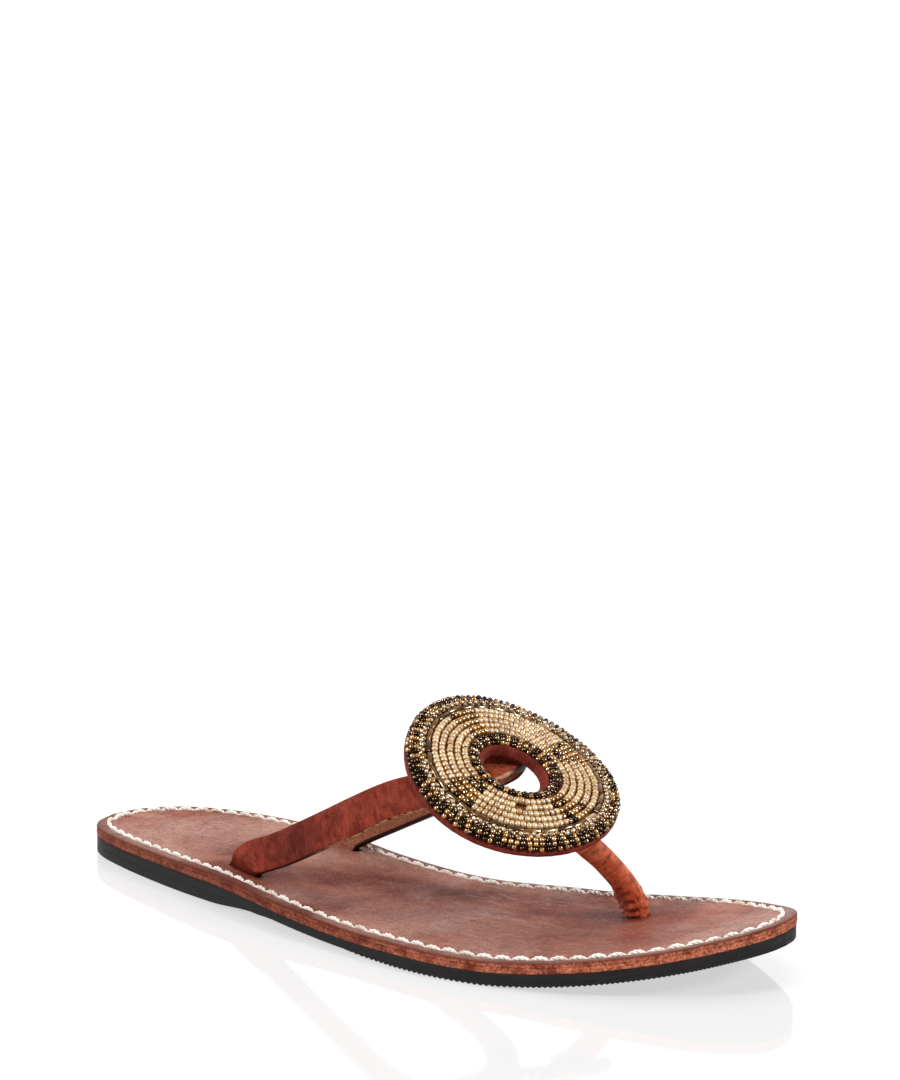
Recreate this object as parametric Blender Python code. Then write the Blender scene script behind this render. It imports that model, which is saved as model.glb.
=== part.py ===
"""Right-foot leather thong sandal with a beaded oval medallion.

Sizes are in millimetres and are turned into metres when a mesh or curve is made.
+X points to the toe, +Y to the inner (big-toe) side, +Z up. The origin is on the
ground under the centre of the sole. The sole is a stack of leather and rubber
layers, and each layer is a loft between its outer and inner edges. The upper is
one instep strap that carries the medallion, and a rolled toe post.
"""

from math import cos, pi, radians, sin

import bmesh
import bpy
import numpy as np
from mathutils import Matrix, Vector

MM = 0.001
GAP = 0.3                    # clearance between pieces that touch

# Sole: lengths, layer thicknesses and the shape of its side view
SOLE_LENGTH = 258.0
FOOTBED_THICKNESS = 1.7
LEATHER_THICKNESS = 3.63     # footbed, gap and midsole together
OUTSOLE_THICKNESS = 2.45
BALL_HEIGHT = 7.8            # top of the footbed where the ball of the foot rests
WAIST_SLOPE = 0.0175         # gentle fall of the footbed behind the ball
BALL_REAR = 36.0
HEEL_RAISE = 4.4
HEEL_BLEND = (-59.0, 21.0)   # the footbed comes down from heel to waist over this stretch
TOE_SPRING = 12.0
SPRING_START = 56.0
SPRING_POWER = 1.6
HEEL_FLAT_END = -89.0        # the heel lift rests flat on the ground behind this
HEEL_ROCKER = 0.8            # how far the heel lift's front has left the ground
LIFT_BLEND = (-54.0, -19.0)  # the heel lift is skived away over this stretch
LIFT_END = -24.0
TREAD_BLEND = (1.0, 36.0)    # the half sole grows to full thickness over this stretch
TREAD_START = 8.0
TREAD_THICKNESS = 1.12
SKIVED_EDGE = 0.4

# Outline of the sole, inner and outer edge at the same stations from heel to toe
HEEL_BACK = (-129.0, 3.5)
TOE_TIP = (129.0, 13.7)
INNER_EDGE = [(-126.5, 14.0), (-119.0, 23.6), (-104.0, 31.2), (-82.0, 34.0), (-54.0, 32.1),
              (-20.0, 26.9), (16.0, 28.1), (44.0, 36.6), (71.0, 44.7), (94.0, 44.5),
              (112.0, 37.6), (123.5, 29.4), (128.0, 21.0)]
OUTER_EDGE = [(-126.5, -6.5), (-119.0, -13.3), (-104.0, -19.3), (-82.0, -25.4), (-54.0, -32.1),
              (-20.0, -39.6), (16.0, -44.3), (44.0, -45.5), (71.0, -39.3), (94.0, -29.5),
              (112.0, -16.9), (123.5, -2.8), (128.0, 6.5)]
STEPS_PER_STATION = 3

# Perimeter stitching
STITCH_INSET = 4.1
STITCH_COUNT = 100
THREAD_RADIUS = 0.65
STITCH_BULGE = 0.55
CHANNEL_RADIUS = 0.95
CHANNEL_DEPTH = 0.25         # depth of the channel's centre line below the footbed
LOWER_THREAD_RADIUS = 0.35
LOWER_CHANNEL_RADIUS = 0.65

# Instep strap: rear and front edge of its grain side, from the outer slot to the inner slot
STRAP_THICKNESS = 2.2
STRAP_REAR = [(-55.3, -21.3, 10.9), (-50.7, -21.9, 17.8), (-35.0, -22.7, 25.4),
              (-15.8, -23.9, 35.9), (-3.7, -24.9, 42.7), (7.9, -24.4, 48.9),
              (14.9, -21.6, 51.8), (20.5, -8.0, 51.6), (23.5, 5.5, 51.4), (23.0, 13.5, 51.6),
              (19.0, 20.0, 50.0), (13.0, 25.0, 46.5), (-4.5, 27.0, 39.5), (-24.0, 26.4, 29.0),
              (-41.5, 26.0, 18.0), (-47.6, 25.4, 10.8)]
STRAP_FRONT = [(-40.6, -25.7, 10.7), (-38.0, -26.0, 12.3), (-27.5, -27.0, 17.2),
               (-10.6, -28.4, 26.3), (2.3, -28.9, 33.1), (13.0, -28.2, 39.5),
               (25.2, -25.2, 44.8), (30.6, -12.0, 48.0), (33.4, 2.5, 50.2), (34.0, 12.5, 51.0),
               (31.0, 19.5, 48.8), (25.0, 23.3, 44.0), (2.0, 23.3, 30.2), (-18.4, 22.1, 19.3),
               (-31.0, 20.9, 12.4), (-33.9, 19.9, 10.4)]
SLOT_CLEARANCE = 0.35        # beside the strap's faces
SLOT_END_ROOM = 1.0          # beyond the strap's edges, so that the strap can tip
TAIL_THICKNESS = 0.8
TAIL_LENGTH = 17.0
TAIL_SINK = 0.25             # the tails lie this far below the midsole's top
POCKET_DEPTH = 1.35
TAIL_TOP = 1.3               # the anchored tail ends this far below the footbed's top

# Toe post: centre line from the footbed hole to the underside of the medallion
POST_PATH = [(74.6, 19.6, 7.9), (74.4, 19.6, 11.0), (73.3, 17.6, 16.5), (71.2, 12.8, 22.5),
             (68.4, 8.2, 27.9), (65.2, 5.0, 31.6), (61.0, 4.3, 34.0)]
POST_RADII = [3.7, 3.7, 3.7, 3.6, 3.3, 2.3, 1.9]
POST_HOLE_RADIUS = 4.1
POST_ANCHOR = (18.0, 15.0)
POST_ANCHOR_OFFSET = 3.0
CORE_RADIUS = 1.6
CORE_SHARE = 0.72            # the cord core fills this share of the post, from its base

# Medallion: place and tilt, in its own frame u (forward), v (inward) and n (up)
MEDALLION_CENTRE = (38.9, 3.1, 53.9)
MEDALLION_ROLL = 12.4
MEDALLION_PITCH = 27.1
MEDALLION_YAW = 1.3
HALF_LENGTH = 34.5
HALF_WIDTH = 32.6
DRAPE_RADIUS = 150.0         # the medallion bends over the instep, across its width
BACKING_MARGIN = -0.6        # the backing stands out beyond the beads
BACKING_TOP = -2.1
BACKING_THICKNESS = 1.85
BACKING_HOLE = 23.4
BASE_TOP = -1.15
BASE_THICKNESS = 0.7
BASE_EDGE = 1.6
BASE_HOLE = 20.75
RING_STEPS = 36

# Bead strands: name, distance in from the outer edge, height, radius and material
CREAM_ROWS = 5
CREAM_FIRST = 8.1
CREAM_PITCH = 2.4
CREAM_HEIGHT = 0.1
CREAM_RADIUS = 1.05
EDGE_STRANDS = [("edge_beads_outer", 0.45, -0.95, 0.85, "dark_beads"),
                ("edge_beads_inner", 2.1, -0.05, 0.85, "dark_beads"),
                ("twisted_bead_rope", 4.0, 0.1, 0.9, "clear_beads"),
                ("bugle_bead_ring", 6.0, 0.0, 0.75, "gold_beads"),
                ("opening_beads_upper", 20.2, 0.0, 0.9, "dark_beads"),
                ("opening_beads_lower", 21.9, -0.9, 0.85, "dark_beads")]

COLOURS = {
    "footbed_leather": ((0.30, 0.14, 0.10), 0.45, 0.0),
    "raw_leather": ((0.42, 0.13, 0.07), 0.85, 0.0),
    "strap_leather": ((0.26, 0.05, 0.025), 0.5, 0.0),
    "post_leather": ((0.30, 0.06, 0.025), 0.5, 0.0),
    "cord": ((0.55, 0.45, 0.32), 0.9, 0.0),
    "rubber": ((0.017, 0.015, 0.015), 0.75, 0.0),
    "thread": ((0.78, 0.74, 0.66), 0.7, 0.0),
    "canvas": ((0.45, 0.33, 0.20), 0.9, 0.0),
    "cream_beads": ((0.72, 0.56, 0.38), 0.25, 0.0),
    "dark_beads": ((0.03, 0.015, 0.01), 0.2, 0.2),
    "clear_beads": ((0.60, 0.52, 0.38), 0.15, 0.1),
    "gold_beads": ((0.40, 0.26, 0.07), 0.2, 0.6),
}


def clear_scene():
    for obj in list(bpy.data.objects):
        bpy.data.objects.remove(obj, do_unlink=True)


def material(name):
    """The Principled material of that name, made once."""
    found = bpy.data.materials.get(name)
    if found:
        return found
    colour, roughness, metallic = COLOURS[name]
    made = bpy.data.materials.new(name)
    made.use_nodes = True
    shader = made.node_tree.nodes["Principled BSDF"]
    shader.inputs["Base Color"].default_value = (*colour, 1.0)
    shader.inputs["Roughness"].default_value = roughness
    shader.inputs["Metallic"].default_value = metallic
    made.diffuse_color = (*colour, 1.0)
    return made


def add_part(name, data, slot, collection="thong_sandal"):
    """Link a mesh or curve as a named object with one material."""
    home = bpy.data.collections.get(collection)
    if home is None:
        home = bpy.data.collections.new(collection)
        bpy.context.scene.collection.children.link(home)
    obj = bpy.data.objects.new(name, data)
    home.objects.link(obj)
    if slot:
        data.materials.append(material(slot))
    if collection == "cutters":
        obj.hide_render = True
        obj.display_type = "WIRE"
    return obj


def smoothstep(t):
    t = min(max(t, 0.0), 1.0)
    return t * t * (3.0 - 2.0 * t)


def smooth_path(points, steps):
    """Centripetal Catmull-Rom curve through the points, with steps stretches between each two."""
    pts = [np.array(p, float) for p in points]
    pts = [2 * pts[0] - pts[1]] + pts + [2 * pts[-1] - pts[-2]]
    path = []
    for a, b, c, d in zip(pts, pts[1:], pts[2:], pts[3:]):
        ta = 0.0
        tb = ta + np.linalg.norm(b - a) ** 0.5
        tc = tb + np.linalg.norm(c - b) ** 0.5
        td = tc + np.linalg.norm(d - c) ** 0.5
        for k in range(steps):
            t = tb + (tc - tb) * k / steps
            ab = a + (b - a) * (t - ta) / (tb - ta)
            bc = b + (c - b) * (t - tb) / (tc - tb)
            cd = c + (d - c) * (t - tc) / (td - tc)
            abc = ab + (bc - ab) * (t - ta) / (tc - ta)
            bcd = bc + (cd - bc) * (t - tb) / (td - tb)
            path.append(abc + (bcd - abc) * (t - tb) / (tc - tb))
    path.append(pts[-2])
    return path


# ---------------------------------------------------------------- sole

def footbed_height(x):
    """Height of the footbed's upper face above the ground."""
    if x < BALL_REAR:
        heel = smoothstep((HEEL_BLEND[1] - x) / (HEEL_BLEND[1] - HEEL_BLEND[0]))
        return BALL_HEIGHT + WAIST_SLOPE * (x - BALL_REAR) + HEEL_RAISE * heel
    spring = max(x - SPRING_START, 0.0) / (SOLE_LENGTH / 2 - SPRING_START)
    return BALL_HEIGHT + TOE_SPRING * spring ** SPRING_POWER


def footbed_bottom(x):
    return footbed_height(x) - FOOTBED_THICKNESS


def midsole_top(x):
    return footbed_bottom(x) - GAP


def midsole_bottom(x):
    return footbed_height(x) - LEATHER_THICKNESS


def outsole_top(x):
    return midsole_bottom(x) - GAP


def outsole_bottom(x):
    return outsole_top(x) - OUTSOLE_THICKNESS


def lower_layer_top(x):
    return outsole_bottom(x) - GAP


def heel_lift_bottom(x):
    """Flat on the ground at the back, then a slight rocker, then skived to a thin edge."""
    rise = max(x - HEEL_FLAT_END, 0.0) / (LIFT_BLEND[0] - HEEL_FLAT_END)
    full = lower_layer_top(x) - HEEL_ROCKER * rise ** 2
    share = smoothstep((LIFT_BLEND[1] - x) / (LIFT_BLEND[1] - LIFT_BLEND[0]))
    return lower_layer_top(x) - max(full * share, SKIVED_EDGE)


def tread_bottom(x):
    share = smoothstep((x - TREAD_BLEND[0]) / (TREAD_BLEND[1] - TREAD_BLEND[0]))
    return max(lower_layer_top(x) - max(TREAD_THICKNESS * share, SKIVED_EDGE), 0.0)


def sole_outline():
    """Inner and outer edge of the sole as two lists of points from heel to toe."""
    inner = smooth_path([HEEL_BACK] + INNER_EDGE + [TOE_TIP], STEPS_PER_STATION)
    outer = smooth_path([HEEL_BACK] + OUTER_EDGE + [TOE_TIP], STEPS_PER_STATION)
    return inner, outer


def closed_outline(inset):
    """The outline as one loop, anticlockwise from the heel, moved inwards by inset."""
    inner, outer = sole_outline()
    loop = np.array(outer + inner[-2:0:-1])
    tangent = np.roll(loop, -1, axis=0) - np.roll(loop, 1, axis=0)
    tangent /= np.linalg.norm(tangent, axis=1)[:, None]
    normal = np.column_stack([-tangent[:, 1], tangent[:, 0]])
    return loop + normal * inset


def sole_layer(name, slot, top, bottom, start=None, end=None):
    """A closed layer between two height profiles, cut off at start or end."""
    inner, outer = sole_outline()
    rungs = [(a, b) for a, b in zip(inner, outer)
             if (start is None or a[0] >= start) and (end is None or a[0] <= end)]
    bm = bmesh.new()
    rings = []
    for a, b in rungs:
        ends = [a] if np.allclose(a, b) else [a, b]
        upper = [bm.verts.new(Vector((p[0], p[1], top(p[0]))) * MM) for p in ends]
        lower = [bm.verts.new(Vector((p[0], p[1], bottom(p[0]))) * MM) for p in ends]
        rings.append((upper, lower))
    for (up_a, low_a), (up_b, low_b) in zip(rings, rings[1:]):
        bm.faces.new(up_a + up_b[::-1])
        bm.faces.new(low_a[::-1] + low_b)
        bm.faces.new((up_a[0], low_a[0], low_b[0], up_b[0]))
        bm.faces.new((up_a[-1], up_b[-1], low_b[-1], low_a[-1]))
    for upper, lower in (rings[0], rings[-1]):
        if len(upper) == 2:
            bm.faces.new((upper[0], upper[1], lower[1], lower[0]))
    bmesh.ops.recalc_face_normals(bm, faces=bm.faces)
    mesh = bpy.data.meshes.new(name)
    bm.to_mesh(mesh)
    bm.free()
    return add_part(name, mesh, slot)


def tube(name, points, radius, slot, sides=1, closed=False, radii=None, collection="thong_sandal"):
    """A round cord along the points."""
    curve = bpy.data.curves.new(name, "CURVE")
    curve.dimensions = "3D"
    curve.bevel_depth = radius * MM
    curve.bevel_resolution = sides
    curve.use_fill_caps = not closed
    spline = curve.splines.new("POLY")
    spline.points.add(len(points) - 1)
    for i, (point, place) in enumerate(zip(spline.points, points)):
        point.co = (*(Vector(place) * MM), 1.0)
        if radii is not None:
            point.radius = radii[i] / radius
    spline.use_cyclic_u = closed
    return add_part(name, curve, slot, collection)


def as_mesh(obj):
    """Replace a curve object by its mesh, with the caps welded on."""
    graph = bpy.context.evaluated_depsgraph_get()
    graph.update()
    mesh = bpy.data.meshes.new_from_object(obj.evaluated_get(graph))
    bm = bmesh.new()
    bm.from_mesh(mesh)
    bmesh.ops.remove_doubles(bm, verts=bm.verts, dist=1e-6)
    bmesh.ops.recalc_face_normals(bm, faces=bm.faces)
    bm.to_mesh(mesh)
    bm.free()
    name = obj.name
    home = obj.users_collection[0]
    matrix = obj.matrix_world.copy()
    bpy.data.objects.remove(obj, do_unlink=True)
    made = bpy.data.objects.new(name, mesh)
    made.matrix_world = matrix
    home.objects.link(made)
    if home.name == "cutters":
        made.hide_render = True
        made.display_type = "WIRE"
    return made


def cut(obj, cutter):
    modifier = obj.modifiers.new("cut_" + cutter.name, "BOOLEAN")
    modifier.operation = "DIFFERENCE"
    modifier.solver = "EXACT"
    modifier.object = cutter


def prism(name, corners, top, bottom, slot, collection="thong_sandal"):
    """A closed block over the corners, between two height profiles."""
    bm = bmesh.new()
    upper = [bm.verts.new(Vector((x, y, top(x))) * MM) for x, y in corners]
    lower = [bm.verts.new(Vector((x, y, bottom(x))) * MM) for x, y in corners]
    bm.faces.new(upper)
    bm.faces.new(lower[::-1])
    for i in range(len(corners)):
        j = (i + 1) % len(corners)
        bm.faces.new((upper[i], lower[i], lower[j], upper[j]))
    bmesh.ops.recalc_face_normals(bm, faces=bm.faces)
    mesh = bpy.data.meshes.new(name)
    bm.to_mesh(mesh)
    bm.free()
    return add_part(name, mesh, slot, collection)


def rectangle(centre, along, across, length, width):
    """Corners of a rectangle with its length on one unit vector and its width on the other."""
    half_length, half_width = along * length / 2, across * width / 2
    return [centre - half_length - half_width, centre + half_length - half_width,
            centre + half_length + half_width, centre - half_length + half_width]


def resample(loop, count):
    """Points spaced evenly along a closed loop."""
    closed = np.vstack([loop, loop[:1]])
    lengths = np.linalg.norm(np.diff(closed, axis=0), axis=1)
    along = np.concatenate([[0.0], np.cumsum(lengths)])
    wanted = np.linspace(0.0, along[-1], count, endpoint=False)
    return np.column_stack([np.interp(wanted, along, closed[:, k]) for k in range(2)])


def stitch_holes(offset, height):
    """One point for each stitch hole, at some height over a layer's face."""
    loop = resample(closed_outline(STITCH_INSET), STITCH_COUNT)
    return [np.array((x, y, height(x) + offset)) for x, y in loop]


def make_stitching(footbed, midsole):
    """Upper and lower thread of the lockstitch, each in its channel."""
    holes = stitch_holes(-CHANNEL_DEPTH, footbed_height)
    channel = tube("stitch_channel", holes, CHANNEL_RADIUS, None, closed=True, collection="cutters")
    cut(footbed, as_mesh(channel))
    upper = []
    for a, b in zip(holes, holes[1:] + holes[:1]):
        upper += [a, (a + b) / 2 + np.array((0.0, 0.0, STITCH_BULGE))]
    tube("footbed_stitching", upper, THREAD_RADIUS, "thread", closed=True)

    holes = stitch_holes(CHANNEL_DEPTH, midsole_bottom)
    channel = tube("lower_channel", holes, LOWER_CHANNEL_RADIUS, None, closed=True,
                   collection="cutters")
    cut(midsole, as_mesh(channel))
    tube("underside_stitching", holes, LOWER_THREAD_RADIUS, "thread", sides=0, closed=True)


def make_sole():
    footbed = sole_layer("footbed", "footbed_leather", footbed_height, footbed_bottom)
    midsole = sole_layer("midsole", "raw_leather", midsole_top, midsole_bottom)
    sole_layer("outsole", "rubber", outsole_top, outsole_bottom)
    sole_layer("heel_lift", "rubber", lower_layer_top, heel_lift_bottom, end=LIFT_END)
    sole_layer("forefoot_tread", "rubber", lower_layer_top, tread_bottom, start=TREAD_START)
    return footbed, midsole


# ---------------------------------------------------------------- strap

def strap_sections():
    """Corners of the strap's cross-sections: grain rear, grain front, flesh front, flesh rear."""
    rear = smooth_path(STRAP_REAR, 3)
    front = smooth_path(STRAP_FRONT, 3)
    middle = [(a + b) / 2 for a, b in zip(rear, front)]
    sections = []
    for i, (a, b) in enumerate(zip(rear, front)):
        along = middle[min(i + 1, len(middle) - 1)] - middle[max(i - 1, 0)]
        grain = np.cross(b - a, along)
        inward = -grain / np.linalg.norm(grain) * STRAP_THICKNESS
        if i in (0, len(rear) - 1):
            inward[2] = 0.0
            inward *= STRAP_THICKNESS / np.linalg.norm(inward)
        sections.append((a, b, b + inward, a + inward))
    return sections


def make_strap():
    bm = bmesh.new()
    rings = [[bm.verts.new(Vector(p) * MM) for p in section] for section in strap_sections()]
    for low, high in zip(rings, rings[1:]):
        for k in range(4):
            following = (k + 1) % 4
            bm.faces.new((low[k], low[following], high[following], high[k]))
    bm.faces.new(rings[0])
    bm.faces.new(rings[-1])
    bmesh.ops.recalc_face_normals(bm, faces=bm.faces)
    mesh = bpy.data.meshes.new("instep_strap")
    bm.to_mesh(mesh)
    bm.free()
    return add_part("instep_strap", mesh, "strap_leather")


def pocket_floor(x):
    return midsole_top(x) - POCKET_DEPTH


def tail_top(x):
    return midsole_top(x) - TAIL_SINK


def tail_bottom(x):
    return tail_top(x) - TAIL_THICKNESS


def above_footbed(x):
    return footbed_height(x) + 5.0


def make_anchor(name, rear, front, towards, footbed, midsole):
    """A strap's glued-in tail: a riser in the footbed's slot and a flange in a midsole pocket."""
    rear, front = np.array(rear[:2]), np.array(front[:2])
    width = np.linalg.norm(front - rear)
    along = (front - rear) / width
    across = np.array([-along[1], along[0]]) * towards
    riser_centre = (rear + front) / 2 + across * STRAP_THICKNESS / 2
    flange_centre = riser_centre + across * (TAIL_LENGTH - STRAP_THICKNESS) / 2
    riser_top = footbed_height(riser_centre[0]) - TAIL_TOP

    pocket = rectangle(flange_centre, along, across, width + 2 * GAP, TAIL_LENGTH + 2 * GAP)
    cut(midsole, prism(name + "_pocket", pocket, above_footbed, pocket_floor, None, "cutters"))
    slot = rectangle(riser_centre, along, across, width + 2 * SLOT_END_ROOM,
                     STRAP_THICKNESS + 2 * SLOT_CLEARANCE)
    cut(footbed, prism(name + "_slot", slot, above_footbed, pocket_floor, None, "cutters"))

    flange = rectangle(flange_centre, along, across, width, TAIL_LENGTH)
    tail = prism(name, flange, tail_top, tail_bottom, "strap_leather")
    riser = rectangle(riser_centre, along, across, width - GAP, STRAP_THICKNESS - GAP / 2)
    riser = prism(name + "_riser", riser, lambda x: riser_top,
                  lambda x: tail_bottom(x) + TAIL_THICKNESS / 2, None, "cutters")
    modifier = tail.modifiers.new("riser", "BOOLEAN")
    modifier.operation = "UNION"
    modifier.solver = "EXACT"
    modifier.object = riser


# ---------------------------------------------------------------- toe post

def post_route():
    path = smooth_path([(*p, r) for p, r in zip(POST_PATH, POST_RADII)], 3)
    return [p[:3] for p in path], [p[3] for p in path]


def make_toe_post(footbed, midsole):
    route, radii = post_route()
    post = as_mesh(tube("toe_post", route, POST_RADII[0], "post_leather", sides=2, radii=radii))
    core_points = route[:int(len(route) * CORE_SHARE)]
    bore_points = [np.array(core_points[0]) - np.array([0.0, 0.0, 2.0])] + core_points
    bore = tube("post_bore", bore_points, CORE_RADIUS + GAP, None, collection="cutters")
    cut(post, as_mesh(bore))
    core_top = core_points[-1] + (core_points[-2] - core_points[-1]) * 0.4
    tube("toe_post_core", core_points[:-1] + [core_top], CORE_RADIUS, "cord")

    x, y, foot = POST_PATH[0]
    hole = tube("post_hole", [(x, y, foot - 3.0), (x, y, foot + 6.0)], POST_HOLE_RADIUS, None,
                sides=4, collection="cutters")
    cut(footbed, as_mesh(hole))
    forward, inward = np.array([1.0, 0.0]), np.array([0.0, 1.0])
    centre = np.array([x - POST_ANCHOR_OFFSET, y])
    length, width = POST_ANCHOR
    pocket = rectangle(centre, forward, inward, length + 2 * GAP, width + 2 * GAP)
    cut(midsole, prism("post_pocket", pocket, above_footbed, pocket_floor, None, "cutters"))
    anchor = rectangle(centre, forward, inward, length, width)
    prism("toe_post_anchor", anchor, tail_top, tail_bottom, "post_leather")


# ---------------------------------------------------------------- medallion

def medallion_axes():
    roll = Matrix.Rotation(radians(MEDALLION_ROLL), 3, "X")
    pitch = Matrix.Rotation(radians(MEDALLION_PITCH), 3, "Y")
    yaw = Matrix.Rotation(radians(MEDALLION_YAW), 3, "Z")
    return roll @ pitch @ yaw


def medallion_point(u, v, n):
    """A point in the medallion's own frame, draped over the instep."""
    drape = -v * v / (2.0 * DRAPE_RADIUS)
    return Vector(MEDALLION_CENTRE) + medallion_axes() @ Vector((u, v, n + drape))


def oval(inset, height, steps=RING_STEPS):
    """An oval loop of points at some distance in from the beads' outer edge."""
    loop = []
    for i in range(steps):
        angle = 2 * pi * i / steps
        u = (HALF_LENGTH - inset) * cos(angle)
        v = (HALF_WIDTH - inset) * sin(angle)
        loop.append(medallion_point(u, v, height))
    return loop


def oval_ring(name, slot, outer_inset, hole_inset, top, thickness):
    """A flat oval ring with a hole, draped as the medallion is."""
    bm = bmesh.new()
    loops = []
    for inset, height in ((outer_inset, top), (hole_inset, top),
                          (hole_inset, top - thickness), (outer_inset, top - thickness)):
        loops.append([bm.verts.new(p * MM) for p in oval(inset, height)])
    for k in range(4):
        first, second = loops[k], loops[(k + 1) % 4]
        for i in range(RING_STEPS):
            j = (i + 1) % RING_STEPS
            bm.faces.new((first[i], first[j], second[j], second[i]))
    bmesh.ops.recalc_face_normals(bm, faces=bm.faces)
    mesh = bpy.data.meshes.new(name)
    bm.to_mesh(mesh)
    bm.free()
    return add_part(name, mesh, slot)


def make_medallion():
    oval_ring("medallion_backing", "strap_leather", BACKING_MARGIN, BACKING_HOLE,
              BACKING_TOP, BACKING_THICKNESS)
    oval_ring("bead_base", "canvas", BASE_EDGE, BASE_HOLE, BASE_TOP, BASE_THICKNESS)
    strands = list(EDGE_STRANDS)
    for row in range(CREAM_ROWS):
        strands.append((f"cream_bead_row_{row + 1}", CREAM_FIRST + CREAM_PITCH * row,
                        CREAM_HEIGHT, CREAM_RADIUS, "cream_beads"))
    for name, inset, height, radius, slot in strands:
        tube(name, oval(inset, height), radius, slot, closed=True)
    return [strand[0] for strand in strands]


def make_post_tab():
    """The toe post's end, spread flat and glued under the medallion."""
    bm = bmesh.new()
    loops = []
    for height in (BACKING_TOP - BACKING_THICKNESS - GAP, BACKING_TOP - BACKING_THICKNESS - 1.5):
        loops.append([bm.verts.new(medallion_point(u, v, height) * MM)
                      for u, v in ((14.5, -6.0), (25.0, -7.0), (25.0, 0.5), (25.0, 8.0),
                                   (14.5, 7.0), (14.5, 0.5))])
    bm.faces.new(loops[0])
    bm.faces.new(loops[1])
    for i in range(6):
        j = (i + 1) % 6
        bm.faces.new((loops[0][i], loops[0][j], loops[1][j], loops[1][i]))
    bmesh.ops.recalc_face_normals(bm, faces=bm.faces)
    mesh = bpy.data.meshes.new("toe_post_tab")
    bm.to_mesh(mesh)
    bm.free()
    return add_part("toe_post_tab", mesh, "post_leather")


def hang_upper_on_its_axis(names):
    """Parent the upper's pieces to an empty on the line through the two strap slots."""
    ends = [np.array(STRAP_REAR[0]) + STRAP_FRONT[0], np.array(STRAP_REAR[-1]) + STRAP_FRONT[-1]]
    axis = bpy.data.objects.new("upper_flex_axis", None)
    bpy.data.collections["thong_sandal"].objects.link(axis)
    axis.location = Vector(ends[0] / 2) * MM
    axis.rotation_mode = "QUATERNION"
    axis.rotation_quaternion = Vector(ends[1] - ends[0]).to_track_quat("Y", "Z")
    bpy.context.view_layer.update()
    for name in names:
        piece = bpy.data.objects[name]
        piece.parent = axis
        piece.matrix_parent_inverse = axis.matrix_world.inverted()


def main():
    clear_scene()
    footbed, midsole = make_sole()
    make_stitching(footbed, midsole)
    make_strap()
    make_anchor("strap_tail_outer", STRAP_REAR[0], STRAP_FRONT[0], 1.0, footbed, midsole)
    make_anchor("strap_tail_inner", STRAP_REAR[-1], STRAP_FRONT[-1], -1.0, footbed, midsole)
    make_toe_post(footbed, midsole)
    strand_names = make_medallion()
    make_post_tab()
    hang_upper_on_its_axis(["instep_strap", "medallion_backing", "bead_base", "toe_post_tab"]
                           + strand_names)


main()
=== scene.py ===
"""The looks of a right-foot leather thong sandal with a beaded medallion.

Shape values are in millimetres, in the CAD's frame (+X toe, +Y inner side, +Z up), and
become metres when a mesh is made. The outline and the toe post's route are those of the CAD
model; the strap's edges follow it within 1.5 mm.
"""

from math import cos, exp, pi, radians, sin

import bmesh
import bpy
import numpy as np
from mathutils import Matrix, Vector, noise


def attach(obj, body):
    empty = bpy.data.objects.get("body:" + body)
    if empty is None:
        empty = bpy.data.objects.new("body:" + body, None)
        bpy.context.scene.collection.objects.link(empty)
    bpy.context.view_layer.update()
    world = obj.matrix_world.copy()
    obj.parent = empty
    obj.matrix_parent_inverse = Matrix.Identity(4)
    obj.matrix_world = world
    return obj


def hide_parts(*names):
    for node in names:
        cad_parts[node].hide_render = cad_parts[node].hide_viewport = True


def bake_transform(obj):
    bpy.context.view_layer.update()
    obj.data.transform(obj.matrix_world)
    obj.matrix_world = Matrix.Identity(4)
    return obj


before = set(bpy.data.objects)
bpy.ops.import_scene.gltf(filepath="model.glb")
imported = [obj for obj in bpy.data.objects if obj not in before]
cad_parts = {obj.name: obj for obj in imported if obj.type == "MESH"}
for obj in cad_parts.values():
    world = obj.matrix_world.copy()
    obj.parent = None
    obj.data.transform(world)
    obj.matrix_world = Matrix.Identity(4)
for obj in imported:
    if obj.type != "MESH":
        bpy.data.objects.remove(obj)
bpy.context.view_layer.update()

MM = 0.001
rng = np.random.default_rng(7)

# ---- sizes shared with the CAD model

HALF_SOLE = 129.0
FOOTBED_THICKNESS = 1.7
LEATHER_THICKNESS = 3.63
OUTSOLE_THICKNESS = 2.45
LAYER_GAP = 0.3
BALL_HEIGHT = 7.8
WAIST_SLOPE = 0.0175
BALL_REAR = 36.0
HEEL_RAISE = 4.4
HEEL_BLEND = (-59.0, 21.0)
TOE_SPRING = 12.0
SPRING_START = 56.0
SPRING_POWER = 1.6
HEEL_FLAT_END = -89.0
HEEL_ROCKER = 0.8
LIFT_BLEND = (-54.0, -19.0)
LIFT_END = -24.0
TREAD_BLEND = (1.0, 36.0)
TREAD_START = 8.0
TREAD_THICKNESS = 1.12
SKIVED_EDGE = 0.4

HEEL_BACK = (-129.0, 3.5)
TOE_TIP = (129.0, 13.7)
INNER_EDGE = [(-126.5, 14.0), (-119.0, 23.6), (-104.0, 31.2), (-82.0, 34.0), (-54.0, 32.1),
              (-20.0, 26.9), (16.0, 28.1), (44.0, 36.6), (71.0, 44.7), (94.0, 44.5),
              (112.0, 37.6), (123.5, 29.4), (128.0, 21.0)]
OUTER_EDGE = [(-126.5, -6.5), (-119.0, -13.3), (-104.0, -19.3), (-82.0, -25.4), (-54.0, -32.1),
              (-20.0, -39.6), (16.0, -44.3), (44.0, -45.5), (71.0, -39.3), (94.0, -29.5),
              (112.0, -16.9), (123.5, -2.8), (128.0, 6.5)]

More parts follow.
